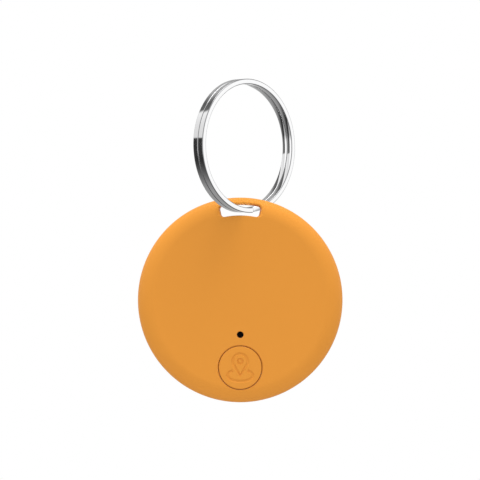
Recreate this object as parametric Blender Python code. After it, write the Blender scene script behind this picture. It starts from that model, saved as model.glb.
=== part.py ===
"""Round bluetooth tracker tag hanging from its split ring, as separate parts.

Every shape is worked out around the centre of the case: +X right, +Z up, and the
front face looks along -Y. The whole tag hangs from the world origin, which is the
top of the split ring's inside. Lengths are metres, written as millimetres * mm.
"""
import math

import bmesh
import bpy
from mathutils import Matrix, Vector

mm = 0.001
gap = 0.05 * mm                      # between pieces that rest on each other

# case
case_radius = 19.0 * mm
flat_radius = 15.8 * mm              # flat middle of the front and rear faces
front_y = -4.0 * mm
rear_y = 4.2 * mm
wall = 1.0 * mm
cavity_radius = 17.5 * mm
cavity_top = 14.0 * mm               # the cavity ends in a flat below the ring slot
lip_radius = 16.9 * mm
lip_wall = 0.6 * mm
lip_depth = 0.9 * mm

# ring slot and the relief behind it
slot_floor = 15.68 * mm
slot_ceiling = 17.62 * mm
slot_half_width = 3.62 * mm
slot_corner = 0.55 * mm
slot_rounding = 0.6 * mm
loop_back_y = -1.4 * mm              # rear of the bar that the ring hangs on
relief_radius = 14.9 * mm
relief_centre = 30.0 * mm

# split ring
ring_radius = 12.6 * mm
ring_wall = 1.3 * mm                 # radial thickness of the flat wire
ring_width = 2.4 * mm                # both coils together
coil_gap = 0.06 * mm
wire_rounding = 0.35 * mm
ring_yaw = math.radians(44.0)
ring_x = 0.9 * mm
ring_y = -2.1 * mm
ring_lowest = 15.95 * mm
jog_start = math.radians(-84.0)      # where the wire steps from one coil to the other
jog_length = math.radians(20.0)

# button
button_z = -12.46 * mm
button_radius = 3.95 * mm
button_hole_radius = 4.1 * mm
flange_radius = 4.5 * mm
button_travel = 0.30 * mm
plunger_travel = 0.25 * mm

# sound
sound_hole_radius = 0.62 * mm
sound_hole_z = -6.37 * mm
buzzer_z = 0.6 * mm
buzzer_radius = 8.42 * mm

# board and battery
board_front_y = -1.1 * mm
board_rear_y = -0.3 * mm
board_radius = 15.6 * mm
board_top = 13.5 * mm
screw_circle = 14.3 * mm
screw_angles = (32, 148, 229, 311)
battery_radius = 10.0 * mm
battery_front_y = 0.2 * mm
battery_rear_y = 3.4 * mm
door_radius = 12.0 * mm
door_opening_radius = 11.5 * mm
door_seat_y = 3.55 * mm

ring_centre = Vector((ring_x, ring_y, ring_lowest + ring_radius))
hang_point = ring_centre + Vector((0, 0, ring_radius - ring_wall))
swivel_pivot = Vector((0, ring_y - ring_x * math.tan(ring_yaw), ring_lowest))


def clear_scene():
    for obj in list(bpy.data.objects):
        bpy.data.objects.remove(obj, do_unlink=True)


def material(name, colour, roughness, metallic=0.0):
    mat = bpy.data.materials.new(name)
    mat.use_nodes = True
    shader = mat.node_tree.nodes["Principled BSDF"]
    shader.inputs["Base Color"].default_value = (*colour, 1.0)
    shader.inputs["Roughness"].default_value = roughness
    shader.inputs["Metallic"].default_value = metallic
    return mat


def empty(name, location, parent=None):
    """An axis or reference point; location is relative to the parent."""
    obj = bpy.data.objects.new(name, None)
    obj.location = location
    obj.parent = parent
    bpy.context.collection.objects.link(obj)
    return obj


def make_object(name, bm, mat=None, parent=None, location=(0, 0, 0), smooth_angle=35):
    """Turn a bmesh into a named object placed under its parent."""
    bmesh.ops.recalc_face_normals(bm, faces=bm.faces)
    mesh = bpy.data.meshes.new(name)
    bm.to_mesh(mesh)
    bm.free()
    mesh.shade_smooth()
    mesh.set_sharp_from_angle(angle=math.radians(smooth_angle))
    if mat:
        mesh.materials.append(mat)
    obj = bpy.data.objects.new(name, mesh)
    obj.location = location
    obj.parent = parent
    bpy.context.collection.objects.link(obj)
    return obj


def turned(profile, steps=64):
    """Solid of revolution about Y from a closed outline of (radius, y) points."""
    bm = bmesh.new()
    verts = [bm.verts.new((radius, y, 0)) for radius, y in profile]
    edges = [bm.edges.new((a, b)) for a, b in zip(verts, verts[1:] + verts[:1])
             if a.co.x > 0 or b.co.x > 0]
    bmesh.ops.spin(bm, geom=verts + edges, axis=(0, 1, 0), cent=(0, 0, 0),
                   angle=math.tau, steps=steps, use_merge=True)
    bmesh.ops.remove_doubles(bm, verts=bm.verts, dist=0.001 * mm)
    return bm


def disc(radius, y_low, y_high, steps=48, bevel=0.0, centre=(0, 0)):
    """Round plate or pin along Y, with its centre given in X and Z."""
    bm = turned([(0, y_low), (radius, y_low), (radius, y_high), (0, y_high)], steps)
    if bevel:
        rims = [e for e in bm.edges if len(e.link_faces) == 2
                and e.calc_face_angle() > math.radians(60)]
        bmesh.ops.bevel(bm, geom=rims, offset=bevel, segments=2, profile=0.5,
                        affect="EDGES", material=-1)
    bmesh.ops.translate(bm, vec=(centre[0], 0, centre[1]), verts=bm.verts)
    return bm


def tube(inner, outer, y_low, y_high, steps=64):
    return turned([(inner, y_low), (outer, y_low), (outer, y_high), (inner, y_high)], steps)


def block(size, centre, bevel=0.0, segments=2):
    bm = bmesh.new()
    bmesh.ops.create_cube(bm, size=1.0)
    bmesh.ops.scale(bm, vec=size, verts=bm.verts)
    if bevel:
        bmesh.ops.bevel(bm, geom=bm.edges, offset=bevel, segments=segments, profile=0.5,
                        affect="EDGES", material=-1)
    bmesh.ops.translate(bm, vec=centre, verts=bm.verts)
    return bm


def joined(parts):
    """Several shapes in one bmesh, for a cutter or for a union in one step."""
    bm = bmesh.new()
    for part in parts:
        mesh = bpy.data.meshes.new("part")
        part.to_mesh(mesh)
        part.free()
        bm.from_mesh(mesh)
        bpy.data.meshes.remove(mesh)
    return bm


def flat_cut(bm, point, normal):
    """Cut away what lies on the normal's side of a plane and close the cut."""
    geom = bm.verts[:] + bm.edges[:] + bm.faces[:]
    cut = bmesh.ops.bisect_plane(bm, geom=geom, plane_co=point, plane_no=normal,
                                 clear_outer=True)["geom_cut"]
    rim = [e for e in cut if isinstance(e, bmesh.types.BMEdge)]
    bmesh.ops.edgeloop_fill(bm, edges=rim)
    return bm


def combine(obj, bm, operation="DIFFERENCE"):
    """Cut a shape from an object, or join it on, with a hidden helper."""
    helper = make_object(f"{obj.name}_{operation.lower()}_{len(obj.modifiers)}", bm)
    helper.location = obj.location
    helper.parent = obj.parent
    helper.hide_render = True
    helper.display_type = "WIRE"
    obj.modifiers.new("Triangulate", "TRIANGULATE")     # keeps every face flat for the cut
    boolean = obj.modifiers.new(operation.title(), "BOOLEAN")
    boolean.operation = operation
    boolean.solver = "EXACT"
    boolean.object = helper
    return helper


def rounded_half(radius_in, radius_out, y_flat, y_seam, steps=7):
    """Quarter-ellipse points from the flat face's rim out to the seam."""
    points = []
    for i in range(steps + 1):
        angle = math.pi / 2 * i / steps
        points.append((radius_in + (radius_out - radius_in) * math.sin(angle),
                       y_seam + (y_flat - y_seam) * math.cos(angle)))
    return points


def front_surface_y(radius):
    """Height of the rounded front surface at a distance from the case's centre."""
    share = min(max((radius - flat_radius) / (case_radius - flat_radius), 0), 1)
    return front_y * math.sqrt(1 - share * share)


def slot_outline(grow):
    """Rounded slot that follows the rim, as (angle, radius) points."""
    middle = (slot_floor + slot_ceiling) / 2
    half_height = (slot_ceiling - slot_floor) / 2 - slot_corner
    half_length = slot_half_width - slot_corner
    corner = slot_corner + grow
    points = []
    for quarter, (side, level) in enumerate(((1, 1), (-1, 1), (-1, -1), (1, -1))):
        for i in range(5):
            angle = math.pi / 2 * (quarter + i / 4)
            points.append((side * half_length + corner * math.cos(angle),
                           level * half_height + corner * math.sin(angle)))
        if quarter in (0, 2):
            run = [side * half_length * (1 - i / 3) for i in (1, 2, 3, 4, 5)]
            points += [(x, level * (half_height + corner)) for x in run]
    return [(x / middle, middle + y) for x, y in points]


def ring_slot():
    """Cutter for the slot, flared to round its front and rear mouths."""
    def flare(share):
        return slot_rounding * (1 - math.sqrt(1 - (1 - max(share, 0)) ** 2))
    steps = [(slot_rounding * s, flare(s)) for s in (-0.2, 0.12, 0.4, 1)]
    mouth = slot_outline(flare(0))
    bm = bmesh.new()
    loops = [[(a, r, front_y - 1 * mm) for a, r in mouth]]
    for depth, grow in steps:
        loops.append([(a, r, front_surface_y(r) + depth) for a, r in slot_outline(grow)])
    for depth, grow in reversed(steps):
        loops.append([(a, r, loop_back_y - depth) for a, r in slot_outline(grow)])
    rings = [[bm.verts.new((r * math.sin(a), y, r * math.cos(a))) for a, r, y in loop]
             for loop in loops]
    for low, high in zip(rings, rings[1:]):
        for i in range(len(low)):
            j = (i + 1) % len(low)
            bm.faces.new((low[i], low[j], high[j], high[i]))
    bm.faces.new(rings[0])
    bm.faces.new(rings[-1])
    return bm


def place(angle, radius):
    """X and Z of a point on a circle around the case's centre."""
    turn = math.radians(angle)
    return radius * math.cos(turn), radius * math.sin(turn)


def build_front_shell(parent, mat):
    outer = rounded_half(flat_radius, case_radius, front_y, 0)
    shell = make_object("front_shell", turned([(0, front_y)] + outer + [(0, 0)], 72),
                        mat, parent)
    inner = rounded_half(flat_radius - 0.4 * mm, cavity_radius, front_y + wall, 0.3 * mm, 5)
    cavity = turned([(0, front_y + wall)] + inner
                    + [(cavity_radius, 1 * mm), (0, 1 * mm)], 60)
    combine(shell, flat_cut(cavity, (0, 0, cavity_top), (0, 0, 1)))
    bosses = [disc(1.3 * mm, front_y + 0.6 * mm, board_front_y - gap, 16,
                   centre=place(angle, screw_circle)) for angle in screw_angles]
    combine(shell, joined(bosses), "UNION")
    holes = [disc(0.6 * mm, front_y + 1.4 * mm, 1 * mm, 12, centre=place(angle, screw_circle))
             for angle in screw_angles]
    # the button's hole, stepped out behind the wall for its flange
    inside_y = front_y + wall
    stepped = turned([(0, front_y - 1 * mm), (button_hole_radius, front_y - 1 * mm),
                      (button_hole_radius, inside_y), (flange_radius + 0.2 * mm, inside_y),
                      (flange_radius + 0.2 * mm, -1.8 * mm), (0, -1.8 * mm)], 48)
    bmesh.ops.translate(stepped, vec=(0, 0, button_z), verts=stepped.verts)
    holes.append(stepped)
    holes.append(disc(sound_hole_radius, front_y - 1 * mm, board_front_y, 24,
                      centre=(0, sound_hole_z)))
    combine(shell, joined(holes))
    combine(shell, disc(relief_radius, loop_back_y, 1 * mm, 72, centre=(0, relief_centre)))
    combine(shell, ring_slot())


def build_rear_shell(parent, mat):
    seam = gap
    inner_rim = lip_radius - lip_wall
    seat_radius = door_radius + gap
    outer = rounded_half(flat_radius, case_radius, rear_y, seam)[::-1]
    profile = outer + [(seat_radius, rear_y), (seat_radius, door_seat_y),
                       (0, door_seat_y), (0, seam)]
    shell = make_object("rear_shell", turned(profile, 72), mat, parent)
    # the lip that centres the front shell stops below the ring slot
    lip = tube(inner_rim - 0.6 * mm, lip_radius, -lip_depth, 1 * mm, 60)
    combine(shell, flat_cut(lip, (0, 0, cavity_top - 0.3 * mm), (0, 0, 1)), "UNION")
    inner = rounded_half(flat_radius - 0.4 * mm, inner_rim, rear_y - wall, 0.4 * mm, 5)
    cavity = turned([(0, -2 * mm), (inner_rim, -2 * mm)] + inner[::-1]
                    + [(0, rear_y - wall)], 60)
    combine(shell, flat_cut(cavity, (0, 0, cavity_top), (0, 0, 1)))
    combine(shell, disc(door_opening_radius, 2 * mm, rear_y + 1 * mm, 60))
    combine(shell, disc(relief_radius, -2 * mm, rear_y + 1 * mm, 66,
                        centre=(0, relief_centre)))
    combine(shell, pry_notch())


def pry_notch():
    """Fingernail notch across the edge of the battery cover."""
    bm = bmesh.new()
    bmesh.ops.create_uvsphere(bm, u_segments=16, v_segments=8, radius=1.5 * mm)
    bmesh.ops.scale(bm, vec=(1.5, 0.55, 0.75), verts=bm.verts)
    bmesh.ops.translate(bm, vec=(0, rear_y + 0.25 * mm, -door_radius), verts=bm.verts)
    return bm


def build_cover(parent, plastic, silicone):
    inside_y = door_seat_y + gap
    profile = [(0, inside_y), (10.45 * mm, inside_y), (10.45 * mm, 2.5 * mm),
               (10.9 * mm, 2.5 * mm), (10.9 * mm, inside_y),
               (door_radius - gap, inside_y), (door_radius - gap, rear_y - 0.15 * mm),
               (door_radius - 0.2 * mm, rear_y), (0, rear_y)]
    cover = make_object("battery_cover", turned(profile, 60), plastic, parent)
    combine(cover, pry_notch())
    seal = [(11.18 * mm + 0.2 * mm * math.cos(a), 3.2 * mm + 0.2 * mm * math.sin(a))
            for a in [math.tau * i / 6 for i in range(6)]]
    make_object("cover_seal", turned(seal, 40), silicone, parent)


def build_button(parent, mat):
    flange_front = front_y + wall + 0.1 * mm
    profile = [(0, front_y), (button_radius - 0.15 * mm, front_y),
               (button_radius, front_y + 0.12 * mm), (button_radius, flange_front),
               (flange_radius, flange_front), (flange_radius, flange_front + 0.3 * mm),
               (0.7 * mm, flange_front + 0.3 * mm), (0.6 * mm, -2.52 * mm), (0, -2.52 * mm)]
    make_object("button_cap", turned(profile, 48), mat, parent)


def build_switch(case, plunger_axis, plastic, steel, black):
    body = make_object("switch_body", block((3.2 * mm, 0.9 * mm, 3.2 * mm),
                                            (0, -1.6 * mm, 0), 0.1 * mm, 1),
                       black, case, (0, 0, button_z))
    combine(body, disc(0.82 * mm, -3 * mm, -1.35 * mm, 20))
    frame = make_object("switch_frame", block((3.1 * mm, 0.1 * mm, 3.1 * mm),
                                              (0, -2.15 * mm, 0)),
                        steel, case, (0, 0, button_z))
    combine(frame, disc(0.95 * mm, -3 * mm, -1 * mm, 24))
    make_object("switch_plunger", disc(0.7 * mm, -2.45 * mm, -1.65 * mm, 24, 0.06 * mm),
                plastic, plunger_axis)


def build_sound(parent, black, brass, ceramic, steel):
    inside = front_y + wall + gap
    make_object("sound_mesh", disc(0.85 * mm, inside, inside + 0.12 * mm, 24),
                black, parent, (0, 0, sound_hole_z))
    at = (0, 0, buzzer_z)
    make_object("buzzer_gasket", tube(7.95 * mm, buzzer_radius, inside, -2.55 * mm, 40),
                black, parent, at)
    make_object("buzzer_plate", disc(buzzer_radius, -2.5 * mm, -2.3 * mm), brass, parent, at)
    make_object("buzzer_ceramic", disc(5.4 * mm, -2.25 * mm, -2.1 * mm), ceramic, parent, at)
    springs = (("outer", (-7.0 * mm, -3.2 * mm), -2.25 * mm),
               ("inner", (-4.4 * mm, -1.6 * mm), -2.05 * mm))
    for name, (x, z), top in springs:
        make_object(f"buzzer_contact_{name}",
                    block((0.8 * mm, board_front_y - gap - top, 1.2 * mm),
                          (x, (board_front_y - gap + top) / 2, z), 0.08 * mm, 1),
                    steel, parent)


def build_board(parent, mats):
    board = make_object("circuit_board",
                        flat_cut(disc(board_radius, board_front_y, board_rear_y, 56),
                                 (0, 0, board_top), (0, 0, 1)), mats["board"], parent)
    combine(board, joined([disc(0.7 * mm, -2 * mm, 1 * mm, 12,
                                centre=place(angle, screw_circle))
                           for angle in screw_angles]))
    front = board_front_y - gap
    # name, width, thickness, height, x, z, finish
    chips = (("radio_chip", 5.0, 0.75, 5.0, 2.6, 2.4, "black"),
             ("main_crystal", 2.0, 0.5, 1.6, -2.6, 4.6, "steel"),
             ("clock_crystal", 3.2, 0.7, 1.5, 2.6, -2.6, "steel"),
             ("chip_antenna", 2.0, 1.1, 7.0, 12.6, -1.5, "ceramic"),
             ("inductor", 1.6, 0.75, 0.8, -1.9, 1.8, "black"),
             ("capacitor_1", 1.0, 0.5, 0.5, -2.4, 6.6, "ceramic"),
             ("capacitor_2", 1.0, 0.5, 0.5, 6.6, 4.2, "ceramic"),
             ("capacitor_3", 1.0, 0.5, 0.5, 6.6, 2.2, "ceramic"),
             ("capacitor_4", 1.6, 0.8, 0.8, -11.6, 0.0, "ceramic"),
             ("resistor_1", 1.0, 0.35, 0.5, 8.6, 0.4, "black"),
             ("resistor_2", 1.0, 0.35, 0.5, -5.6, -11.5, "black"))
    for name, width, thick, height, x, z, finish in chips:
        size = (width * mm, thick * mm, height * mm)
        make_object(name, block(size, (0, front - thick * mm / 2, 0), 0.06 * mm, 1),
                    mats[finish], parent, (x * mm, 0, z * mm))
    for i, angle in enumerate(screw_angles, 1):
        head_y = board_rear_y + gap
        screw = turned([(0, -2.2 * mm), (0.5 * mm, -2.2 * mm), (0.5 * mm, head_y),
                        (1.05 * mm, head_y), (1.05 * mm, head_y + 0.3 * mm),
                        (0.8 * mm, head_y + 0.5 * mm), (0, head_y + 0.5 * mm)], 16)
        x, z = place(angle, screw_circle)
        obj = make_object(f"board_screw_{i}", screw, mats["steel"], parent, (x, 0, z))
        drive = joined([block((1.1 * mm, 0.5 * mm, 0.24 * mm), (0, head_y + 0.5 * mm, 0))])
        combine(obj, drive)


def build_battery(parent, mats):
    can = turned([(0, 1.0 * mm), (9.4 * mm, 1.0 * mm), (9.6 * mm, 0.7 * mm),
                  (9.6 * mm, battery_front_y + 0.1 * mm),
                  (battery_radius - 0.15 * mm, battery_front_y + 0.1 * mm),
                  (battery_radius, 0.6 * mm), (battery_radius, battery_rear_y - 0.25 * mm),
                  (battery_radius - 0.25 * mm, battery_rear_y), (0, battery_rear_y)], 48)
    make_object("battery_can", can, mats["steel"], parent)
    make_object("battery_seal", tube(8.95 * mm, 9.35 * mm, 0.4 * mm, 0.95 * mm, 40),
                mats["board"], parent)
    cap = turned([(0, battery_front_y), (8.1 * mm, battery_front_y),
                  (8.4 * mm, 0.45 * mm), (8.85 * mm, 0.5 * mm), (8.85 * mm, 0.95 * mm),
                  (0, 0.95 * mm)], 40)
    make_object("battery_cap", cap, mats["steel"], parent)
    base = board_rear_y + gap
    holder = make_object("battery_holder", tube(10.35 * mm, 11.1 * mm, base, 2.3 * mm, 48),
                         mats["black"], parent)
    combine(holder, joined([block((6 * mm, 4 * mm, 5.0 * mm), (11 * mm, 1.2 * mm, 0)),
                            block((6 * mm, 1.6 * mm, 8 * mm), (-11 * mm, 2.4 * mm, 0))]))
    clip = joined([block((2.6 * mm, 0.2 * mm, 3.6 * mm), (11.4 * mm, base + 0.1 * mm, 0))])
    positive = make_object("positive_clip", clip, mats["contact"], parent)
    upright = block((0.22 * mm, 2.35 * mm, 3.6 * mm), (10.3 * mm, base + 1.2 * mm, 0))
    combine(positive, upright, "UNION")
    leaf = block((7.0 * mm, 0.12 * mm, 2.6 * mm), (0, base + 0.06 * mm, 0))
    negative = make_object("negative_contact", leaf, mats["contact"], parent)
    tip = block((2.0 * mm, 0.36 * mm, 1.6 * mm), (2.0 * mm, base + 0.2 * mm, 0), 0.1 * mm, 2)
    combine(negative, tip, "UNION")


def wire_profile(width):
    """Cross-section of the flat wire, as a closed curve used by the coil."""
    corners = ((1, 1), (-1, 1), (-1, -1), (1, -1))
    half = (ring_wall / 2 - wire_rounding, width / 2 - wire_rounding)
    points = []
    for quarter, (across, along) in enumerate(corners):
        for i in range(2):
            angle = math.pi / 2 * (quarter + i)
            points.append((across * half[0] + wire_rounding * math.cos(angle),
                           along * half[1] + wire_rounding * math.sin(angle), 0, 1))
    return poly_curve("wire_profile", points, closed=True)


def poly_curve(name, points, closed=False):
    curve = bpy.data.curves.new(name, "CURVE")
    curve.dimensions = "3D"
    spline = curve.splines.new("POLY")
    spline.points.add(len(points) - 1)
    for point, co in zip(spline.points, points):
        point.co = co
    spline.use_cyclic_u = closed
    obj = bpy.data.objects.new(name, curve)
    bpy.context.collection.objects.link(obj)
    return obj


def build_split_ring(parent, mat):
    """Flat wire wound twice, stepping from the front coil to the rear coil once."""
    width = (ring_width - coil_gap) / 2
    profile = wire_profile(width)
    middle = ring_radius - ring_wall / 2
    step = (width + coil_gap) / 2
    first = jog_start + jog_length + math.radians(1.5)
    last = jog_start + 2 * math.tau - math.radians(1.5)
    count = 100
    points = []
    for i in range(count + 1):
        angle = first + (last - first) * i / count
        share = min(max((angle - jog_start - math.tau) / jog_length, 0), 1)
        offset = step * (2 * (3 * share ** 2 - 2 * share ** 3) - 1)
        points.append((middle * math.cos(angle), middle * math.sin(angle), offset, 1))
    path = poly_curve("wire_path", points)
    path.data.twist_mode = "Z_UP"
    path.data.bevel_mode = "OBJECT"
    path.data.bevel_object = profile
    path.data.use_fill_caps = True
    swept = bpy.data.meshes.new_from_object(
        path.evaluated_get(bpy.context.evaluated_depsgraph_get()))
    bm = bmesh.new()
    bm.from_mesh(swept)
    bmesh.ops.remove_doubles(bm, verts=bm.verts, dist=0.001 * mm)
    for guide in (path, profile):
        bpy.data.objects.remove(guide, do_unlink=True)
    # the coil's own Z becomes the ring's axis, turned to the yaw about the vertical
    ring = make_object("split_ring", bm, mat, parent)
    upright = Matrix.Rotation(math.pi / 2, 4, "X")
    ring.matrix_local = Matrix.Rotation(ring_yaw, 4, "Z") @ upright


def main():
    clear_scene()
    steel = material("polished_steel", (0.78, 0.78, 0.79), 0.12, 1.0)
    orange = material("orange_plastic", (0.78, 0.31, 0.05), 0.55)
    mats = {"board": material("board_green", (0.02, 0.12, 0.05), 0.45),
            "black": material("black_plastic", (0.015, 0.015, 0.016), 0.5),
            "steel": material("bright_steel", (0.7, 0.7, 0.71), 0.25, 1.0),
            "contact": material("spring_contact", (0.75, 0.68, 0.5), 0.3, 1.0),
            "brass": material("brass", (0.75, 0.55, 0.2), 0.3, 1.0),
            "ceramic": material("ceramic", (0.7, 0.66, 0.58), 0.4)}
    silicone = material("silicone", (0.03, 0.03, 0.03), 0.7)

    ring_axis = empty("ring_centre", ring_centre - hang_point)
    pivot = empty("case_swivel_axis", swivel_pivot - hang_point)
    case = empty("case_centre", -swivel_pivot, pivot)
    button_axis = empty("button_axis", (0, 0, button_z), case)
    plunger_axis = empty("plunger_axis", (0, 0, button_z), case)
    cover_axis = empty("cover_axis", (0, 0, 0), case)

    build_split_ring(ring_axis, steel)
    build_front_shell(case, orange)
    build_rear_shell(case, orange)
    build_cover(cover_axis, orange, silicone)
    build_button(button_axis, orange)
    build_switch(case, plunger_axis, mats["ceramic"], mats["steel"], mats["black"])
    build_sound(case, mats["black"], mats["brass"], mats["ceramic"], mats["contact"])
    build_board(case, mats)
    build_battery(case, mats)


main()
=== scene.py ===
import math

import bmesh
import bpy
from mathutils import Matrix, Vector


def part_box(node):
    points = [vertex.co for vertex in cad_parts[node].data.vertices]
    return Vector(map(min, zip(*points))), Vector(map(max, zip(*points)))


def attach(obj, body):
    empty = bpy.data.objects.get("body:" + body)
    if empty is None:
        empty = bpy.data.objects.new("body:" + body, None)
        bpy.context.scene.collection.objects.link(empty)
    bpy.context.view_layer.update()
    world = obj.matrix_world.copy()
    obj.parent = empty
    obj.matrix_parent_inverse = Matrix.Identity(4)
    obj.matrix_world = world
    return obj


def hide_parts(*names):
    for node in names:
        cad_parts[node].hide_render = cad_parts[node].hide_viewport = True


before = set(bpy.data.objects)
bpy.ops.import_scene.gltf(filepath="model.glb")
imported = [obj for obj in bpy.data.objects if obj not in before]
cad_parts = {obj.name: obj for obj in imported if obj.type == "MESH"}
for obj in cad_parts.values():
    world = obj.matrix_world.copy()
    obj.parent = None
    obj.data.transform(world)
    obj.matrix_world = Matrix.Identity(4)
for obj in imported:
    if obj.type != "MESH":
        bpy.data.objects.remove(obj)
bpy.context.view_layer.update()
mm = 0.001


def middle(node):
    low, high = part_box(node)
    return (low + high) / 2


frontLow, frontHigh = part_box("front_shell")
caseRadius = (frontHigh.x - frontLow.x) / 2
caseCentre = Vector((middle("front_shell").x, frontHigh.y, frontLow.z + caseRadius))
frontY = frontLow.y - caseCentre.y
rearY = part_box("battery_cover")[1].y - caseCentre.y
buttonZ = middle("button_cap").z - caseCentre.z
holeZ = middle("sound_mesh").z - caseCentre.z
ringLow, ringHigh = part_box("split_ring")
ringCentre = (ringLow + ringHigh) / 2


class Link:
    # one output socket, usable in sums

    def __init__(self, graph, socket):
        self.graph = graph
        self.socket = socket

    def math(self, operation, *others):
        return self.graph.node("ShaderNodeMath", {"operation": operation}, self, *others)

    def __add__(self, other):
        return self.math("ADD", other)

    def __sub__(self, other):
        return self.math("SUBTRACT", other)

    def __mul__(self, other):
        return self.math("MULTIPLY", other)

    def __truediv__(self, other):
        return self.math("DIVIDE", other)

    def __rsub__(self, other):
        return self.graph.node("ShaderNodeMath", {"operation": "SUBTRACT"}, other, self)

    __radd__ = __add__
    __rmul__ = __mul__


class Graph:
    # makes and joins the nodes of one tree

    def __init__(self, tree):
        self.tree = tree

    def put(self, socket, value):
        if isinstance(value, Link):
            self.tree.links.new(value.socket, socket)
        elif socket.type == "RGBA" and len(value) == 3:
            socket.default_value = (*value, 1.0)
        else:
            socket.default_value = value

    def node(self, kind, settings, *values, output=0, **named):
        new = self.tree.nodes.new(kind)
        for key, value in settings.items():
            if key == "stops":
                ramp = new.color_ramp
                for spot, (at, colour) in enumerate(value):
                    stop = ramp.elements[spot] if spot < 2 else ramp.elements.new(at)
                    stop.position = at
                    stop.color = (*colour, 1.0)
            else:
                setattr(new, key, value)
        for spot, value in enumerate(values):
            self.put(new.inputs[spot], value)
        for key, value in named.items():
            self.put(new.inputs[key.replace("_", " ")], value)
        return None if output is None else Link(self, new.outputs[output])

    def axes(self, vector):
        split = self.node("ShaderNodeSeparateXYZ", {}, vector)
        outputs = split.socket.node.outputs
        return [Link(self, outputs[i]) for i in range(3)]

    def vector(self, x, y, z):
        return self.node("ShaderNodeCombineXYZ", {}, x, y, z)

    def ramp(self, factor, stops):
        return self.node("ShaderNodeValToRGB", {"stops": stops}, factor)

    def step(self, value, low, high):
        # 0 below the low edge, 1 above the high one, smooth between
        return self.node("ShaderNodeMapRange", {"interpolation_type": "SMOOTHSTEP"}, value,
                         low, high, 0.0, 1.0)


class Finish(Graph):
    # a material with one Principled shader

    def __init__(self, name, **sockets):
        self.material = bpy.data.materials.new(name)
        self.material.use_nodes = True
        super().__init__(self.material.node_tree)
        self.shader = self.tree.nodes["Principled BSDF"]
        for socket, value in sockets.items():
            self.feed(socket.replace("_", " "), value)

    def feed(self, socket, value):
        self.put(self.shader.inputs[socket], value)
        return self

    def place(self, centre=(0, 0, 0), turn=(0, 0, 0), size=(1, 1, 1)):
        # object coordinates measured from a centre
        at = self.node("ShaderNodeTexCoord", {}, output="Object")
        moved = self.node("ShaderNodeVectorMath", {"operation": "SUBTRACT"}, at, tuple(centre))
        return self.node("ShaderNodeMapping", {}, moved, Rotation=turn, Scale=size)

    def noise(self, where, scale, detail=3.0, rough=0.55):
        return self.node("ShaderNodeTexNoise", {}, Vector=where, Scale=scale, Detail=detail,
                         Roughness=rough)

    def blendColour(self, factor, a, b):
        new = self.tree.nodes.new("ShaderNodeMix")
        new.data_type = "RGBA"
        self.put(new.inputs["Factor"], factor)
        self.put(new.inputs[6], a)
        self.put(new.inputs[7], b)
        return Link(self, new.outputs[2])

    def bump(self, height, strength, distance):
        relief = self.node("ShaderNodeBump", {}, Strength=strength, Distance=distance,
                           Height=height)
        return self.feed("Normal", relief)


softPlastic = dict(colour=(0.75, 0.295, 0.038), shade=(0.73, 0.282, 0.035),
                   grainSize=0.11 * mm, coarser=0.35,  # share of the fine grain's frequency
                   blotchSize=9 * mm, roughness=0.5, relief=0.012 * mm)


def orangePlastic(name, centre):
    p = softPlastic
    f = Finish(name, IOR=1.46, Specular_IOR_Level=0.2)
    where = f.place(centre)
    blotch = f.noise(where, 1 / p["blotchSize"], 2.0)
    grain = f.noise(where, 1 / p["grainSize"], 2.0, 0.5)
    coarse = f.noise(where, p["coarser"] / p["grainSize"], 3.0, 0.6)
    f.feed("Base Color", f.blendColour(blotch * 0.6 + grain * 0.4, p["shade"], p["colour"]))
    f.feed("Roughness", grain * 0.10 + coarse * 0.06 + (p["roughness"] - 0.08))
    return f.bump(grain * 0.6 + coarse * 0.4, 0.12, p["relief"]).material


# flat wire wound twice; radius is the outside, pitch is from coil to coil
wire = dict(radius=12.4 * mm, wall=0.95 * mm, width=1.2 * mm, pitch=1.23 * mm,
            rounding=0.13 * mm, perCorner=7, endRound=0.14 * mm, turnSteps=150,
            yaw=math.radians(46.0), jogStart=math.radians(-84), jogLength=math.radians(20),
            endGap=math.radians(1.5))
# each edge pair is where the painted shade and painted dark reflection start and where they are
# full
nickel = dict(light=(0.96, 0.96, 0.96), dark=(0.90, 0.90, 0.91), paintedShade=(0.06, 0.06, 0.065),
              shadeStrength=0.75, groove=(0.04 * mm, 0.16 * mm),
              outerEdge=(12.2 * mm, 12.32 * mm), innerEdge=(11.53 * mm, 11.63 * mm),
              sideEdge=(1.06 * mm, 1.14 * mm), roughness=0.03, relief=0.004 * mm)


def polishedNickel(name, centre, yaw):
    n = nickel
    f = Finish(name, Metallic=1.0)
    # turned back by the ring's yaw: x and z lie in its plane, y runs through it
    where = f.place(centre, turn=(0, 0, -yaw))
    x, y, z = f.axes(where)
    radius = f.node("ShaderNodeVectorMath", {"operation": "LENGTH"}, f.vector(x, 0.0, z),
                    output="Value")
    angle = z.math("ARCTAN2", x)
    drawn = f.vector(radius * 9000.0, y * 9000.0, angle * 14.0)
    lines = f.noise(drawn, 1.0, 3.0, 0.6)
    scuffs = f.noise(where, 900.0, 4.0, 0.65)
    scuffMask = f.ramp(scuffs, [(0.52, (0, 0, 0)), (0.72, (1, 1, 1))])
    bright = f.blendColour(lines, n["dark"], n["light"])
    # painted shade: the groove between the coils is darkened as its shade, and the rounded edges
    # as their dark reflections
    side = y.math("ABSOLUTE")
    groove = 1.0 - f.step(side, *n["groove"])
    inner = 1.0 - f.step(radius, *n["innerEdge"])
    rim = f.step(radius, *n["outerEdge"]).math("MAXIMUM", inner)
    paintedShade = groove.math("MAXIMUM", rim * f.step(side, *n["sideEdge"]))
    f.feed("Base Color", f.blendColour(paintedShade * n["shadeStrength"], bright, n["paintedShade"]))
    f.feed("Roughness", lines * 0.025 + scuffMask * 0.04 + n["roughness"])
    return f.bump(lines, 0.04, n["relief"]).material


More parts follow.
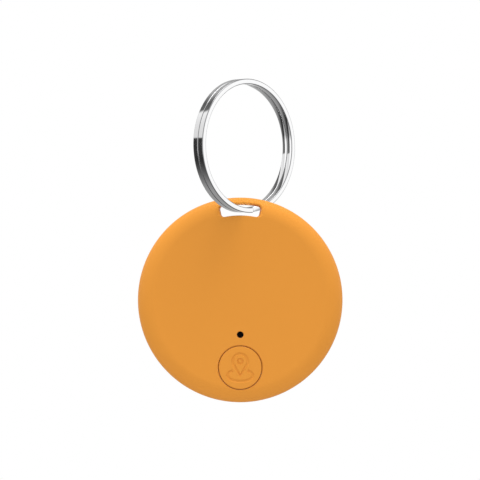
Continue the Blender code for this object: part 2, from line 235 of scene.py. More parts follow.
def mouldedPlastic(name, colour, roughness, grainSize=0.09 * mm, strength=0.15):
    f = Finish(name, IOR=1.47)
    where = f.place()
    grain = f.noise(where, 1 / grainSize, 2.0, 0.5)
    dusty = f.noise(where, 400.0, 4.0, 0.6)
    lighter = tuple(min(1.0, c * 1.35 + 0.004) for c in colour)
    f.feed("Base Color", f.blendColour(dusty, colour, lighter))
    f.feed("Roughness", grain * 0.14 + (roughness - 0.07))
    return f.bump(grain, strength, 0.01 * mm).material


def turnedMetal(name, centre, light, dark, roughness):
    # sheet metal with fine rings round its own centre
    f = Finish(name, Metallic=1.0)
    where = f.place(centre)
    x, y, z = f.axes(where)
    radius = f.node("ShaderNodeVectorMath", {"operation": "LENGTH"}, f.vector(x, 0.0, z),
                    output="Value")
    angle = z.math("ARCTAN2", x)
    lines = f.noise(f.vector(radius * 4200.0, y * 900.0, angle * 5.0), 1.0, 3.0, 0.6)
    smudge = f.noise(where, 260.0, 3.0, 0.6)
    f.feed("Base Color", f.blendColour(lines * 0.5 + smudge * 0.5, dark, light))
    f.feed("Roughness", lines * 0.12 + smudge * 0.10 + (roughness - 0.1))
    return f.bump(lines, 0.12, 0.006 * mm).material


def stampedMetal(name, light, dark, roughness):
    f = Finish(name, Metallic=1.0)
    where = f.place(size=(1.0, 0.25, 1.0))
    lines = f.noise(where, 5200.0, 3.0, 0.6)
    stain = f.noise(where, 500.0, 3.0, 0.6)
    f.feed("Base Color", f.blendColour(stain, dark, light))
    f.feed("Roughness", lines * 0.15 + (roughness - 0.07))
    return f.bump(lines, 0.12, 0.005 * mm).material


board = dict(pitch=0.9 * mm, trackShare=(0.32, 0.28), mask=(0.006, 0.075, 0.030),
             overTrack=(0.022, 0.17, 0.062))


def solderMask(name, centre):
    b = board
    f = Finish(name, IOR=1.5, Coat_Roughness=0.15)
    where = f.place(centre)
    x, _, z = f.axes(where)
    # tracks are a warped grid under the mask, raised and a little lighter
    warp = f.noise(where, 180.0, 1.0) * 2.4
    across = (x / b["pitch"] + warp).math("FRACT").math("LESS_THAN", b["trackShare"][0])
    along = (z / b["pitch"] + warp).math("FRACT").math("LESS_THAN", b["trackShare"][1])
    track = across.math("MAXIMUM", along)
    weave = f.noise(where, 5000.0, 2.0)
    green = f.blendColour(track * 0.75 + weave * 0.2, b["mask"], b["overTrack"])
    f.feed("Base Color", green)
    f.feed("Roughness", weave * 0.12 + 0.30)
    f.feed("Coat Weight", track * 0.2 + 0.4)
    return f.bump(track * 0.7 + weave * 0.15, 0.3, 0.02 * mm).material


cloth = dict(pitch=0.11 * mm, low=(0.001, 0.001, 0.001), high=(0.006, 0.006, 0.007))


def wovenMesh(name, centre):
    f = Finish(name, IOR=1.45, Specular_IOR_Level=0.1)
    x, _, z = f.axes(f.place(centre))
    warp = (x * (math.tau / cloth["pitch"])).math("SINE")
    weft = (z * (math.tau / cloth["pitch"])).math("SINE")
    height = warp * weft * 0.5 + 0.5
    f.feed("Base Color", f.blendColour(height, cloth["low"], cloth["high"]))
    f.feed("Roughness", height * 0.1 + 0.85)
    return f.bump(height, 0.6, 0.02 * mm).material


def firedCeramic(name, light, dark):
    f = Finish(name, IOR=1.6)
    where = f.place()
    fine = f.noise(where, 9000.0, 3.0)
    cloud = f.noise(where, 700.0, 3.0)
    f.feed("Base Color", f.blendColour(fine * 0.5 + cloud * 0.5, dark, light))
    f.feed("Roughness", fine * 0.15 + 0.38)
    return f.bump(fine, 0.15, 0.008 * mm).material


finishes = {
    "orange": orangePlastic("orangePlastic", caseCentre),
    "nickel": polishedNickel("polishedNickel", ringCentre, wire["yaw"]),
    "black": mouldedPlastic("blackPlastic", (0.014, 0.014, 0.015), 0.48),
    "silicone": mouldedPlastic("sealSilicone", (0.022, 0.022, 0.023), 0.72, 0.14 * mm, 0.2),
    "mesh": wovenMesh("acousticMesh", middle("sound_mesh")),
    "board": solderMask("solderMask", middle("circuit_board")),
    "cell": turnedMetal("cellSteel", middle("battery_can"), (0.80, 0.80, 0.81),
                        (0.66, 0.66, 0.68), 0.27),
    "nylon": mouldedPlastic("cellNylon", (0.04, 0.10, 0.05), 0.5),
    "steel": stampedMetal("stampedSteel", (0.76, 0.76, 0.77), (0.62, 0.62, 0.64), 0.3),
    "gold": stampedMetal("goldFlash", (0.90, 0.68, 0.32), (0.78, 0.56, 0.25), 0.28),
    "brass": turnedMetal("brassSheet", middle("buzzer_plate"), (0.84, 0.63, 0.27),
                         (0.70, 0.50, 0.20), 0.32),
    "ceramic": firedCeramic("firedCeramic", (0.72, 0.67, 0.58), (0.60, 0.55, 0.46)),
}
print("finishes made:", len(finishes))


def spun(points, steps):
    # solid of revolution round Y from (radius, y) points
    bm = bmesh.new()
    verts = [bm.verts.new((r, y, 0)) for r, y in points]
    pairs = zip(verts, verts[1:] + verts[:1])
    edges = [bm.edges.new(pair) for pair in pairs if pair[0].co.x > 0 or pair[1].co.x > 0]
    bmesh.ops.spin(bm, geom=verts + edges, axis=(0, 1, 0), cent=(0, 0, 0), angle=math.tau,
                   steps=steps, use_merge=True)
    bmesh.ops.remove_doubles(bm, verts=bm.verts, dist=0.0005 * mm)
    bmesh.ops.recalc_face_normals(bm, faces=bm.faces)
    return bm


def quarter(fromPoint, toPoint, steps, bulgeFirst=True):
    # quarter of an ellipse between two (radius, y) points, without the first one
    (r0, y0), (r1, y1) = fromPoint, toPoint
    points = []
    for i in range(1, steps + 1):
        a = math.pi / 2 * i / steps
        if bulgeFirst:
            points.append((r0 + (r1 - r0) * math.sin(a), y0 + (y1 - y0) * (1 - math.cos(a))))
        else:
            points.append((r0 + (r1 - r0) * (1 - math.cos(a)), y0 + (y1 - y0) * math.sin(a)))
    return points


def moved(bm, x=0.0, y=0.0, z=0.0):
    bmesh.ops.translate(bm, vec=(x, y, z), verts=bm.verts)
    return bm


def halved(bm, z):
    # keeps what lies below a level and closes the cut
    geom = bm.verts[:] + bm.edges[:] + bm.faces[:]
    cut = bmesh.ops.bisect_plane(bm, geom=geom, plane_co=(0, 0, z), plane_no=(0, 0, 1),
                                 clear_outer=True)["geom_cut"]
    rim = [e for e in cut if isinstance(e, bmesh.types.BMEdge)]
    bmesh.ops.edgeloop_fill(bm, edges=rim)
    bmesh.ops.recalc_face_normals(bm, faces=bm.faces)
    return bm


def block(size, centre, bevel):
    bm = bmesh.new()
    bmesh.ops.create_cube(bm, size=1.0)
    bmesh.ops.scale(bm, vec=size, verts=bm.verts)
    bmesh.ops.bevel(bm, geom=bm.edges, offset=bevel, segments=3, profile=0.5, affect="EDGES",
                    material=-1)
    return moved(bm, *centre)


def roundedFace(wide, high, corner, perCorner, cuts=0):
    # one flat face in XY: a circle whose quarters are moved apart
    bm = bmesh.new()
    bmesh.ops.create_circle(bm, cap_ends=False, segments=perCorner * 4, radius=corner)
    bmesh.ops.rotate(bm, cent=(0, 0, 0), verts=bm.verts,
                     matrix=Matrix.Rotation(math.pi / (perCorner * 4), 3, "Z"))
    for vert in bm.verts:
        vert.co.x += math.copysign(wide / 2 - corner, vert.co.x)
        vert.co.y += math.copysign(high / 2 - corner, vert.co.y)
    if cuts:
        longEdges = [e for e in bm.edges if e.calc_length() > wide / 2]
        bmesh.ops.subdivide_edges(bm, edges=longEdges, cuts=cuts)
    bmesh.ops.edgeloop_fill(bm, edges=bm.edges)
    return bm


def meshObject(name, bm):
    mesh = bpy.data.meshes.new(name)
    bm.to_mesh(mesh)
    bm.free()
    obj = bpy.data.objects.new(name, mesh)
    bpy.context.collection.objects.link(obj)
    return obj


def combined(obj, bm, operation="DIFFERENCE"):
    # the Boolean's result becomes the object's mesh
    tool = meshObject("tool", bm)
    obj.modifiers.new("triangles", "TRIANGULATE")
    step = obj.modifiers.new(operation, "BOOLEAN")
    step.operation = operation
    step.object = tool
    step.solver = "EXACT"
    shaped = obj.evaluated_get(bpy.context.evaluated_depsgraph_get())
    mesh = bpy.data.meshes.new_from_object(shaped)
    obj.modifiers.clear()
    old = obj.data
    obj.data = mesh
    bpy.data.meshes.remove(old)
    bpy.data.objects.remove(tool, do_unlink=True)
    # vertices that the cut left almost on top of each other are merged
    clean = bmesh.new()
    clean.from_mesh(mesh)
    bmesh.ops.remove_doubles(clean, verts=clean.verts, dist=0.0002 * mm)
    clean.to_mesh(mesh)
    clean.free()
    return obj


def finished(obj, finish, body, nodes, place=caseCentre, sharp=32):
    mesh = obj.data
    mesh.transform(Matrix.Translation(place))
    mesh.shade_smooth()
    mesh.set_sharp_from_angle(angle=math.radians(sharp))
    # large flat faces keep their own normal at a rounded border
    obj.modifiers.new("weights", "WEIGHTED_NORMAL").keep_sharp = True
    mesh.materials.clear()
    mesh.materials.append(finish)
    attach(obj, body)
    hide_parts(*nodes)
    # the case and all inside it stay out of the ring's reflections
    obj.visible_glossy = body == "ring"
    print("made", obj.name, len(mesh.polygons))
    return obj


# Radii are from the case's axis and depths from the plane where the shells meet. The relief
# is a scoop behind the slot, with its own centre above the case. The overlaps keep a cutter's
# faces off the faces that it cuts.
shell = dict(flat=15.8 * mm, shoulder=-1.45 * mm, wall=1.0 * mm, inset=0.4 * mm,
             cavity=17.5 * mm, cavityEnd=0.3 * mm, top=14.0 * mm,  # the cavity's flat top
             lip=16.9 * mm, lipWall=0.6 * mm, lipDeep=0.9 * mm, lipGap=0.3 * mm,
             lipEnd=0.4 * mm, relief=14.9 * mm, reliefCentre=30 * mm, reliefRound=0.5 * mm,
             rearStart=-2 * mm, seamRound=0.14 * mm, steps=256, curve=22, overlap=0.002 * mm)
# floor and ceiling are radii, barBack is the back of the bar that the ring hangs on
ringSlot = dict(floor=15.68 * mm, ceiling=17.62 * mm, halfWidth=3.62 * mm, corner=0.55 * mm,
                rounding=0.5 * mm, draft=0.2 * mm, barBack=-1.4 * mm, steps=9, perCorner=10,
                cuts=26, floorSquare=0.85, overlap=0.004 * mm)
# the flange holds the cap in behind the wall, and the post reaches the switch
button = dict(radius=3.95 * mm, hole=4.1 * mm, edge=0.13 * mm, flange=4.5 * mm,
              flangeGap=0.1 * mm, flangeThick=0.3 * mm, post=(0.7 * mm, 0.6 * mm),
              pocketGap=0.2 * mm, pocketEnd=-1.8 * mm, holeExtra=0.5 * mm)
soundHole = dict(radius=0.62 * mm, edge=0.07 * mm)
# screw bosses from the front wall to the board
bosses = dict(circle=14.3 * mm, angles=(32, 148, 229, 311), radius=1.3 * mm, base=0.6 * mm,
              boardGap=0.05 * mm, pilot=0.6 * mm, pilotStart=1.4 * mm)


def column(radius, fromY, toY, steps):
    return spun([(0, fromY), (radius, fromY), (radius, toY), (0, toY)], steps)


def flared(radius, face, deep, edge):
    # hole cutter whose mouth at the face is rounded
    start = (radius + edge, face)
    points = [(0, face - mm), (radius + edge, face - mm), start]
    points += quarter(start, (radius, face + edge), 6, bulgeFirst=False)
    return spun(points + [(radius, deep), (0, deep)], 128)


def frontSurface(radius):
    share = min(max((radius - shell["flat"]) / (caseRadius - shell["flat"]), 0), 1)
    return frontY + (shell["shoulder"] - frontY) * (1 - math.sqrt(1 - share * share))


def slotCutter():
    # a rounded bar, bent along the rim, that widens towards both mouths
    s = ringSlot
    half = (s["ceiling"] - s["floor"]) / 2
    centre = (s["ceiling"] + s["floor"]) / 2
    bm = roundedFace(2 * s["halfWidth"], 2 * half, s["corner"], s["perCorner"], s["cuts"])
    spot = bm.verts.layers.int.new("spot")
    cap = next(iter(bm.faces))
    outline = []
    for i, vert in enumerate(cap.verts):
        vert[spot] = i
        coreX = max(s["corner"] - s["halfWidth"], min(s["halfWidth"] - s["corner"], vert.co.x))
        coreY = max(s["corner"] - half, min(half - s["corner"], vert.co.y))
        outline.append((vert.co.copy(), (vert.co - Vector((coreX, coreY, 0))).normalized()))

    def shape(verts, amount, level):
        for vert in verts:
            point, outwards = outline[vert[spot]]
            # the slot's floor stays nearly square-edged
            at = point + outwards * amount * (1 + s["floorSquare"] * min(0, outwards.y))
            radius = centre + at.y
            angle = at.x / centre
            vert.co = (radius * math.sin(angle), level(radius), radius * math.cos(angle))

    levels = [(s["rounding"] + s["draft"], lambda r: frontY - mm)]
    for i in range(s["steps"] + 1):
        a = math.pi / 2 * i / s["steps"]
        widen = s["draft"] + s["rounding"] * (1 - math.sin(a))
        sink = s["rounding"] * (1 - math.cos(a))
        levels.append((widen, lambda r, d=sink: frontSurface(r) + d - s["overlap"]))
    for i in range(s["steps"] + 1):
        a = math.pi / 2 * (1 - i / s["steps"])
        widen = s["rounding"] * (1 - math.sin(a))
        sink = s["rounding"] * (1 - math.cos(a))
        levels.append((widen, lambda r, d=sink: s["barBack"] - d + s["overlap"]))
    levels.append((s["rounding"], lambda r: s["barBack"] + mm))
    shape(list(cap.verts), *levels[0])
    first = cap
    for amount, level in levels[1:]:
        grown = bmesh.ops.extrude_face_region(bm, geom=[cap])["geom"]
        # the first face stays as the cutter's outer cap
        if cap is not first:
            bmesh.ops.delete(bm, geom=[cap], context="FACES_ONLY")
        cap = next(g for g in grown if isinstance(g, bmesh.types.BMFace))
        shape(list(cap.verts), amount, level)
    bmesh.ops.recalc_face_normals(bm, faces=bm.faces)
    return bm


def reliefCutter(fromY, toY):
    # round scoop behind the ring slot, with a rounded edge where it leaves the rear face
    r = shell["relief"]
    edge = shell["reliefRound"]
    points = [(0, fromY), (r, fromY), (r, rearY - edge)]
    points += quarter((r, rearY - edge), (r + edge, rearY), 8, bulgeFirst=False)
    points += [(r + edge, toY), (0, toY)]
    return moved(spun(points, 200), z=shell["reliefCentre"])


def onCircle(angle, radius):
    return radius * math.cos(math.radians(angle)), radius * math.sin(math.radians(angle))


def makeFrontShell():
    s = shell
    seam = s["seamRound"]
    outer = [(0, frontY), (s["flat"], frontY)]
    outer += quarter((s["flat"], frontY), (caseRadius, s["shoulder"]), s["curve"])
    outer += [(caseRadius, -seam)]
    outer += quarter((caseRadius, -seam), (caseRadius - seam, 0), 4, bulgeFirst=False)
    obj = meshObject("frontShell", spun(outer + [(0, 0)], s["steps"]))
    behind = frontY + s["wall"]
    inside = (s["flat"] - s["inset"], behind)
    cavity = [(0, behind), inside] + quarter(inside, (s["cavity"], s["cavityEnd"]), 10)
    combined(obj, halved(spun(cavity + [(s["cavity"], mm), (0, mm)], 128), s["top"]))
    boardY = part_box("circuit_board")[0].y - caseCentre.y
    for angle in bosses["angles"]:
        x, z = onCircle(angle, bosses["circle"])
        boss = column(bosses["radius"], frontY + bosses["base"], boardY - bosses["boardGap"], 40)
        combined(obj, moved(boss, x, 0, z), "UNION")
        pilot = column(bosses["pilot"], frontY + bosses["pilotStart"], mm, 32)
        combined(obj, moved(pilot, x, 0, z))
    pocket = column(button["flange"] + button["pocketGap"], behind - s["overlap"],
                    button["pocketEnd"], 96)
    combined(obj, moved(pocket, z=buttonZ))
    through = behind + button["holeExtra"]
    combined(obj, moved(flared(button["hole"], frontY, through, button["edge"]), z=buttonZ))
    combined(obj, moved(flared(soundHole["radius"], frontY, through, soundHole["edge"]),
                        z=holeZ))
    combined(obj, moved(column(s["relief"], ringSlot["barBack"], mm, 200),
                        z=s["reliefCentre"]))
    combined(obj, slotCutter())
    return finished(obj, finishes["orange"], "case", ["front_shell"])


# the cover in its seat, with a skirt round the cell
door = dict(radius=12.0 * mm, opening=11.5 * mm, openingStart=2 * mm, seat=3.55 * mm,
            gap=0.05 * mm, edge=0.12 * mm, skirtOuter=10.9 * mm, skirtInner=10.45 * mm,
            skirtEnd=2.5 * mm)
# finger notch across the cover's lower edge and the rear shell
notch = dict(radius=1.5 * mm, stretch=(1.5, 0.55, 0.75), proud=0.25 * mm)


def notchCutter():
    bm = bmesh.new()
    bmesh.ops.create_uvsphere(bm, u_segments=64, v_segments=32, radius=notch["radius"])
    bmesh.ops.scale(bm, vec=notch["stretch"], verts=bm.verts)
    return moved(bm, y=rearY + notch["proud"], z=-door["radius"])


def makeRearShell():
    s = shell
    d = door
    seam = s["seamRound"]
    lineY = d["gap"]
    seatRadius = d["radius"] + d["gap"]
    lipInner = s["lip"] - s["lipWall"]
    curve = [(s["flat"], rearY)] + quarter((s["flat"], rearY), (caseRadius, lineY), s["curve"])
    curve = curve[:-1] + [(caseRadius, lineY + seam)]
    rim = quarter((caseRadius, lineY + seam), (caseRadius - seam, lineY), 4, bulgeFirst=False)
    mouth = (seatRadius + d["edge"], rearY)
    profile = [(0, d["seat"]), (seatRadius, d["seat"]), (seatRadius, rearY - d["edge"])]
    profile += quarter((seatRadius, rearY - d["edge"]), mouth, 5, bulgeFirst=False)
    obj = meshObject("rearShell", spun(profile + curve + rim + [(0, lineY)], s["steps"]))
    # the lip starts thicker, and the cavity then cuts it to its wall
    lip = spun([(lipInner - s["lipWall"], -s["lipDeep"]), (s["lip"], -s["lipDeep"]),
                (s["lip"], mm), (lipInner - s["lipWall"], mm)], 128)
    combined(obj, halved(lip, s["top"] - s["lipGap"]), "UNION")
    start = (lipInner, s["lipEnd"])
    end = (s["flat"] - s["inset"], rearY - s["wall"])
    cavity = [(0, s["rearStart"]), (lipInner, s["rearStart"]), start]
    cavity += quarter(start, end, 8, bulgeFirst=False)
    combined(obj, halved(spun(cavity + [(0, end[1])], 128), s["top"]))
    combined(obj, column(d["opening"], d["openingStart"], rearY + mm, 160))
    combined(obj, reliefCutter(s["rearStart"], rearY + mm))
    combined(obj, notchCutter())
    return finished(obj, finishes["orange"], "case", ["rear_shell"])


def makeCover():
    d = door
    rim = d["radius"] - d["gap"]
    inside = d["seat"] + d["gap"]
    profile = [(0, inside), (d["skirtInner"], inside), (d["skirtInner"], d["skirtEnd"]),
               (d["skirtOuter"], d["skirtEnd"]), (d["skirtOuter"], inside), (rim, inside),
               (rim, rearY - d["edge"])]
    profile += quarter((rim, rearY - d["edge"]), (rim - d["edge"], rearY), 6, bulgeFirst=False)
    obj = meshObject("batteryCover", spun(profile + [(0, rearY)], 200))
    combined(obj, notchCutter())
    return finished(obj, finishes["orange"], "cover", ["battery_cover"])


# A map pin with an eye, over a ground ellipse that is open behind it. The strokes are the
# radii of the round tools that engrave it.
pictogram = dict(stroke=0.34 * mm, deep=0.16 * mm, head=1.37 * mm, headZ=1.19 * mm,
                 tip=-1.4 * mm, pinSteps=40, eye=0.45 * mm, eyeStroke=0.2 * mm, eyeSteps=28,
                 groundZ=-1.42 * mm, groundWide=2.35 * mm, groundHigh=1.08 * mm,
                 groundGap=0.62, groundSteps=60, roundness=8)


def arc(centreZ, wide, high, first, sweep, steps):
    angles = [first + sweep * i / steps for i in range(steps + 1)]
    return [(wide * math.cos(a), centreZ + high * math.sin(a)) for a in angles]


def strokes():
    # (points, closed, radius) of each engraved line
    p = pictogram
    # the head's arc runs down into two straight sides that meet at the tip
    spread = math.asin(p["head"] / (p["headZ"] - p["tip"]))
    pin = arc(p["headZ"], p["head"], p["head"], -spread, math.pi + 2 * spread, p["pinSteps"])
    pin.append((0, p["tip"]))
    eye = arc(p["headZ"], p["eye"], p["eye"], 0, math.tau, p["eyeSteps"])[:-1]
    ground = arc(p["groundZ"], p["groundWide"], p["groundHigh"], math.pi / 2 + p["groundGap"],
                 math.tau - 2 * p["groundGap"], p["groundSteps"])
    return ((pin, True, p["stroke"]), (eye, True, p["eyeStroke"]), (ground, False, p["stroke"]))


def strokeTube(points, closed, radius):
    curve = bpy.data.curves.new("stroke", "CURVE")
    curve.dimensions = "3D"
    spline = curve.splines.new("POLY")
    spline.points.add(len(points) - 1)
    for point, (x, z) in zip(spline.points, points):
        point.co = (x, frontY + pictogram["deep"] - radius, z, 1)
    spline.use_cyclic_u = closed
    curve.bevel_depth = radius
    curve.bevel_resolution = pictogram["roundness"]
    curve.use_fill_caps = True
    obj = bpy.data.objects.new("stroke", curve)
    bpy.context.collection.objects.link(obj)
    bpy.context.view_layer.update()
    mesh = bpy.data.meshes.new_from_object(
        obj.evaluated_get(bpy.context.evaluated_depsgraph_get()))
    bpy.data.objects.remove(obj, do_unlink=True)
    bm = bmesh.new()
    bm.from_mesh(mesh)
    bmesh.ops.remove_doubles(bm, verts=bm.verts, dist=0.001 * mm)
    bmesh.ops.recalc_face_normals(bm, faces=bm.faces)
    return moved(bm, z=buttonZ)


def makeButton():
    b = button
    edge = b["edge"]
    flangeY = frontY + shell["wall"] + b["flangeGap"]
    flangeEnd = flangeY + b["flangeThick"]
    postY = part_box("button_cap")[1].y - caseCentre.y
    profile = [(0, frontY), (b["radius"] - edge, frontY)]
    profile += quarter((b["radius"] - edge, frontY), (b["radius"], frontY + edge), 6)
    profile += [(b["radius"], flangeY), (b["flange"], flangeY), (b["flange"], flangeEnd),
                (b["post"][0], flangeEnd), (b["post"][1], postY), (0, postY)]
    obj = meshObject("buttonCap", moved(spun(profile, 160), z=buttonZ))
    for stroke in strokes():
        combined(obj, strokeTube(*stroke))
    return finished(obj, finishes["orange"], "button", ["button_cap"])


def makeRing():
    w = wire
    bm = roundedFace(w["wall"], w["width"], w["rounding"], w["perCorner"])
    # the section stands upright in the wire's path, at the coil's mean radius
    bmesh.ops.rotate(bm, cent=(0, 0, 0), matrix=Matrix.Rotation(math.pi / 2, 3, "X"),
                     verts=bm.verts)
    moved(bm, x=w["radius"] - w["wall"] / 2, z=-w["pitch"] / 2)
    first = w["jogStart"] + w["jogLength"] + w["endGap"]
    last = w["jogStart"] + 2 * math.tau - w["endGap"]
    bmesh.ops.rotate(bm, cent=(0, 0, 0), matrix=Matrix.Rotation(first, 3, "Z"), verts=bm.verts)

    def rise(angle):
        # eases from the front coil's level to the rear coil's over the jog
        share = min(max((angle - w["jogStart"] - math.tau) / w["jogLength"], 0), 1)
        return w["pitch"] * (3 * share ** 2 - 2 * share ** 3)

    count = round((last - first) / math.tau * w["turnSteps"])
    turn = (last - first) / count
    geom = bm.faces[:] + bm.edges[:] + bm.verts[:]
    for i in range(count):
        climb = rise(first + turn * (i + 1)) - rise(first + turn * i)
        geom = bmesh.ops.spin(bm, geom=geom, axis=(0, 0, 1), cent=(0, 0, 0), angle=turn, steps=1,
                              dvec=(0, 0, climb))["geom_last"]
    ends = [e for f in bm.faces if len(f.verts) > 4 for e in f.edges]
    bmesh.ops.bevel(bm, geom=ends, offset=w["endRound"], segments=3, profile=0.5,
                    affect="EDGES", material=-1, clamp_overlap=True)
    bmesh.ops.recalc_face_normals(bm, faces=bm.faces)
    stand = Matrix.Rotation(w["yaw"], 4, "Z") @ Matrix.Rotation(math.pi / 2, 4, "X")
    bmesh.ops.transform(bm, matrix=stand, verts=bm.verts)
    obj = meshObject("splitRing", bm)
    return finished(obj, finishes["nickel"], "ring", ["split_ring"], ringCentre, 40)


# the can is open to the front, where it is curled over its seal
cell = dict(radius=10.0 * mm, front=0.2 * mm, rear=3.4 * mm, shoulder=0.3 * mm,
            seat=(9.4 * mm, 1.0 * mm), mouth=(9.6 * mm, 0.7 * mm), curl=(0.15 * mm, 0.6 * mm),
            mouthGap=0.1 * mm, step=(9.0 * mm, 8.9 * mm), stepDeep=0.05 * mm, steps=160)
plusSign = dict(thin=0.35 * mm, long=3 * mm, deep=0.2 * mm, z=5.2 * mm, round=0.03 * mm)


def makeCell():
    c = cell
    p = plusSign
    high = c["front"] + c["mouthGap"]
    profile = [(0, c["seat"][1]), c["seat"], c["mouth"], (c["mouth"][0], high)]
    profile += [(c["radius"] - c["curl"][0], high), (c["radius"], c["curl"][1])]
    start = (c["radius"], c["rear"] - c["shoulder"])
    end = (c["radius"] - c["shoulder"], c["rear"])
    profile += [start] + quarter(start, end, 8, bulgeFirst=False)
    # a shallow step runs round the flat of the can
    sunk = c["rear"] - c["stepDeep"]
    profile += [(c["step"][0], c["rear"]), (c["step"][1], sunk), (0, sunk)]
    obj = meshObject("cellCan", spun(profile, c["steps"]))
    for wide, high in ((p["thin"], p["long"]), (p["long"], p["thin"])):
        combined(obj, block((wide, p["deep"], high), (0, c["rear"], p["z"]), p["round"]))
    return finished(obj, finishes["cell"], "case", ["battery_can"])


# each gap is a block's size, centre and rounding
holder = dict(inner=10.35 * mm, outer=11.1 * mm, edge=0.12 * mm, steps=144,
              contactGap=((6 * mm, 4 * mm, 5 * mm), (11 * mm, 1.2 * mm, 0), 0.1 * mm),
              clipGap=((6 * mm, 1.6 * mm, 8 * mm), (-11 * mm, 2.4 * mm, 0), 0.2 * mm))


def makeHolder():
    h = holder
    edge = h["edge"]
    low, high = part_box("battery_holder")
    base = low.y - caseCentre.y
    top = high.y - caseCentre.y
    profile = [(h["inner"], base), (h["outer"], base), (h["outer"], top - edge)]
    profile += quarter((h["outer"], top - edge), (h["outer"] - edge, top), 4, bulgeFirst=False)
    profile += [(h["inner"] + edge * 2, top), (h["inner"], top - edge * 2)]
    obj = meshObject("batteryHolder", spun(profile, h["steps"]))
    combined(obj, block(*h["contactGap"]))
    combined(obj, block(*h["clipGap"]))
    return finished(obj, finishes["black"], "case", ["battery_holder"])


# round in section, outside the cover's skirt; thick is the section's radius
seal = dict(radius=11.18 * mm, thick=0.2 * mm, y=3.2 * mm, around=20, steps=160)


def makeSeal():
    s = seal
    angles = [math.tau * i / s["around"] for i in range(s["around"])]
    section = [(s["radius"] + s["thick"] * math.cos(a), s["y"] + s["thick"] * math.sin(a))
               for a in angles]
    obj = meshObject("coverSeal", spun(section, s["steps"]))
    return finished(obj, finishes["silicone"], "cover", ["cover_seal"])


makeFrontShell()
makeRearShell()
makeCover()
makeButton()
makeRing()
makeCell()
makeHolder()
makeSeal()

# the remaining nodes keep their shape and get their finish
carried = {
    "mesh": ["sound_mesh"],
    "board": ["circuit_board"],
    "cell": ["battery_cap"],
    "nylon": ["battery_seal"],
    "steel": ["switch_frame", "main_crystal", "clock_crystal", "board_screw_1", "board_screw_2",
              "board_screw_3", "board_screw_4"],
    "gold": ["positive_clip", "negative_contact", "buzzer_contact_inner",
             "buzzer_contact_outer"],
    "brass": ["buzzer_plate"],
    "ceramic": ["buzzer_ceramic", "chip_antenna", "capacitor_1", "capacitor_2", "capacitor_3",
                "capacitor_4", "switch_plunger"],
    "black": ["radio_chip", "inductor", "resistor_1", "resistor_2", "switch_body",
              "buzzer_gasket"],
}
for finish, nodes in carried.items():
    for node in nodes:
        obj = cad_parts[node]
        obj.visible_glossy = False
        obj.data.materials.clear()
        obj.data.materials.append(finishes[finish])
print("carried over:", sum(len(nodes) for nodes in carried.values()))


floorPlan = dict(drop=56 * mm, radius=150 * mm, light=(0.64, 0.64, 0.64),
                 dark=(0.61, 0.61, 0.61))
topLight = dict(place=(0, -0.05, 0.35), size=0.2, power=0.68)
# The ramps run from 0 to 1, downward to upward and front to back. The other pairs are where
# a flag or glow starts and where it is full, along one axis of the direction.
studio = dict(upDown=((0.0, 0.2), (0.36, 0.48), (0.435, 1.02), (1.0, 1.12)),
              frontBack=((0.0, 1.0), (0.615, 1.0), (0.635, 0.13), (0.70, 0.10), (0.74, 0.17),
                         (0.81, 0.38), (1.0, 0.40)),
              flagSide=(0.35, 0.45), flagFront=(-0.12, -0.04), flagBack=(-0.03, 0.48),
              flagBottom=(-0.9, -0.8), flagTop=(0.15, 0.19), flagDark=0.97, flagLift=0.7,
              glow=(0.86, 0.97), glowPower=4.0,
              steep=(0.3, 0.45), straight=(0.8, 0.9), level=(-0.05, 0.05))
picture = dict(width=89.4 * mm, lens=180.0, sensor=36.0, aimX=-0.04 * mm, aimZ=11.12 * mm,
               nearest=0.01, farthest=20)


def makeFloor():
    p = floorPlan
    bm = bmesh.new()
    bmesh.ops.create_circle(bm, cap_ends=True, segments=96, radius=p["radius"])
    moved(bm, caseCentre.x, caseCentre.y, caseCentre.z - p["drop"])
    floor = meshObject("floor", bm)
    f = Finish("paleFloor", Roughness=0.7)
    speck = f.noise(f.place(), 600.0, 3.0)
    f.feed("Base Color", f.blendColour(speck, p["dark"], p["light"]))
    floor.data.materials.append(f.material)
    floor.visible_glossy = False


def makeLight(name, plan):
    light = bpy.data.lights.new(name, "AREA")
    light.shape = "DISK"
    light.size = plan["size"]
    light.energy = plan["power"]
    lamp = bpy.data.objects.new(name, light)
    lamp.location = caseCentre + Vector(plan["place"])
    lamp.rotation_euler = (caseCentre - lamp.location).to_track_quat("-Z", "Y").to_euler()
    lamp.visible_glossy = False
    bpy.context.collection.objects.link(lamp)


def greys(stops):
    return [(at, (grey,) * 3) for at, grey in stops]


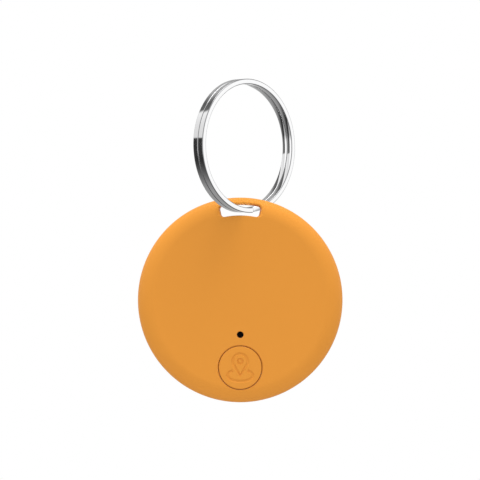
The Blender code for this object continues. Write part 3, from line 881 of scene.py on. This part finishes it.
def makeWorld():
    # plain white to the camera, softly graded light, and dark flags for reflections only
    s = studio
    world = bpy.data.worlds.new("studio")
    bpy.context.scene.world = world
    world.use_nodes = True
    g = Graph(world.node_tree)
    g.tree.nodes.clear()
    x, y, z = g.axes(g.node("ShaderNodeTexCoord", {}, output="Generated"))
    upDown = g.ramp(z * 0.5 + 0.5, greys(s["upDown"]))
    frontBack = g.ramp(y * 0.5 + 0.5, greys(s["frontBack"]))
    # the side flag stands at the left and only dims what lies above it
    flag = (g.step(x * -1.0, *s["flagSide"]) * g.step(y, *s["flagFront"])
            * (1.0 - g.step(y, *s["flagBack"])) * g.step(z, *s["flagBottom"])
            * (1.0 - g.step(z, *s["flagTop"]) * s["flagLift"]))
    # the back flag hangs high, with a plain grey straight behind
    behind = g.step(y, *s["straight"]) * g.step(z, *s["level"])
    backed = g.step(z, *s["steep"]).math("MAXIMUM", behind)
    dark = 1.0 - (1.0 - backed * (1.0 - frontBack)) * (1.0 - flag * s["flagDark"])
    mirrored = g.node("ShaderNodeLightPath", {}, output="Is Glossy Ray")
    glow = g.step(z, *s["glow"]) * s["glowPower"]
    lit = g.node("ShaderNodeBackground", {}, upDown * (1.0 + mirrored * (glow - dark)))
    plain = g.node("ShaderNodeBackground", {}, (1.0, 1.0, 1.0))
    seen = g.node("ShaderNodeLightPath", {}, output="Is Camera Ray")
    g.node("ShaderNodeOutputWorld", {}, g.node("ShaderNodeMixShader", {}, seen, lit, plain),
           output=None)


def makeCamera():
    p = picture
    data = bpy.data.cameras.new("camera")
    data.lens = p["lens"]
    data.sensor_width = p["sensor"]
    data.clip_start = p["nearest"]
    data.clip_end = p["farthest"]
    camera = bpy.data.objects.new("camera", data)
    distance = p["width"] * data.lens / data.sensor_width
    camera.location = caseCentre + Vector((p["aimX"], -distance, p["aimZ"]))
    camera.rotation_euler = (math.pi / 2, 0, 0)
    bpy.context.collection.objects.link(camera)
    bpy.context.scene.camera = camera


makeFloor()
makeLight("topLight", topLight)
makeWorld()
makeCamera()
bpy.context.scene.view_settings.view_transform = "Standard"
print("stage set")
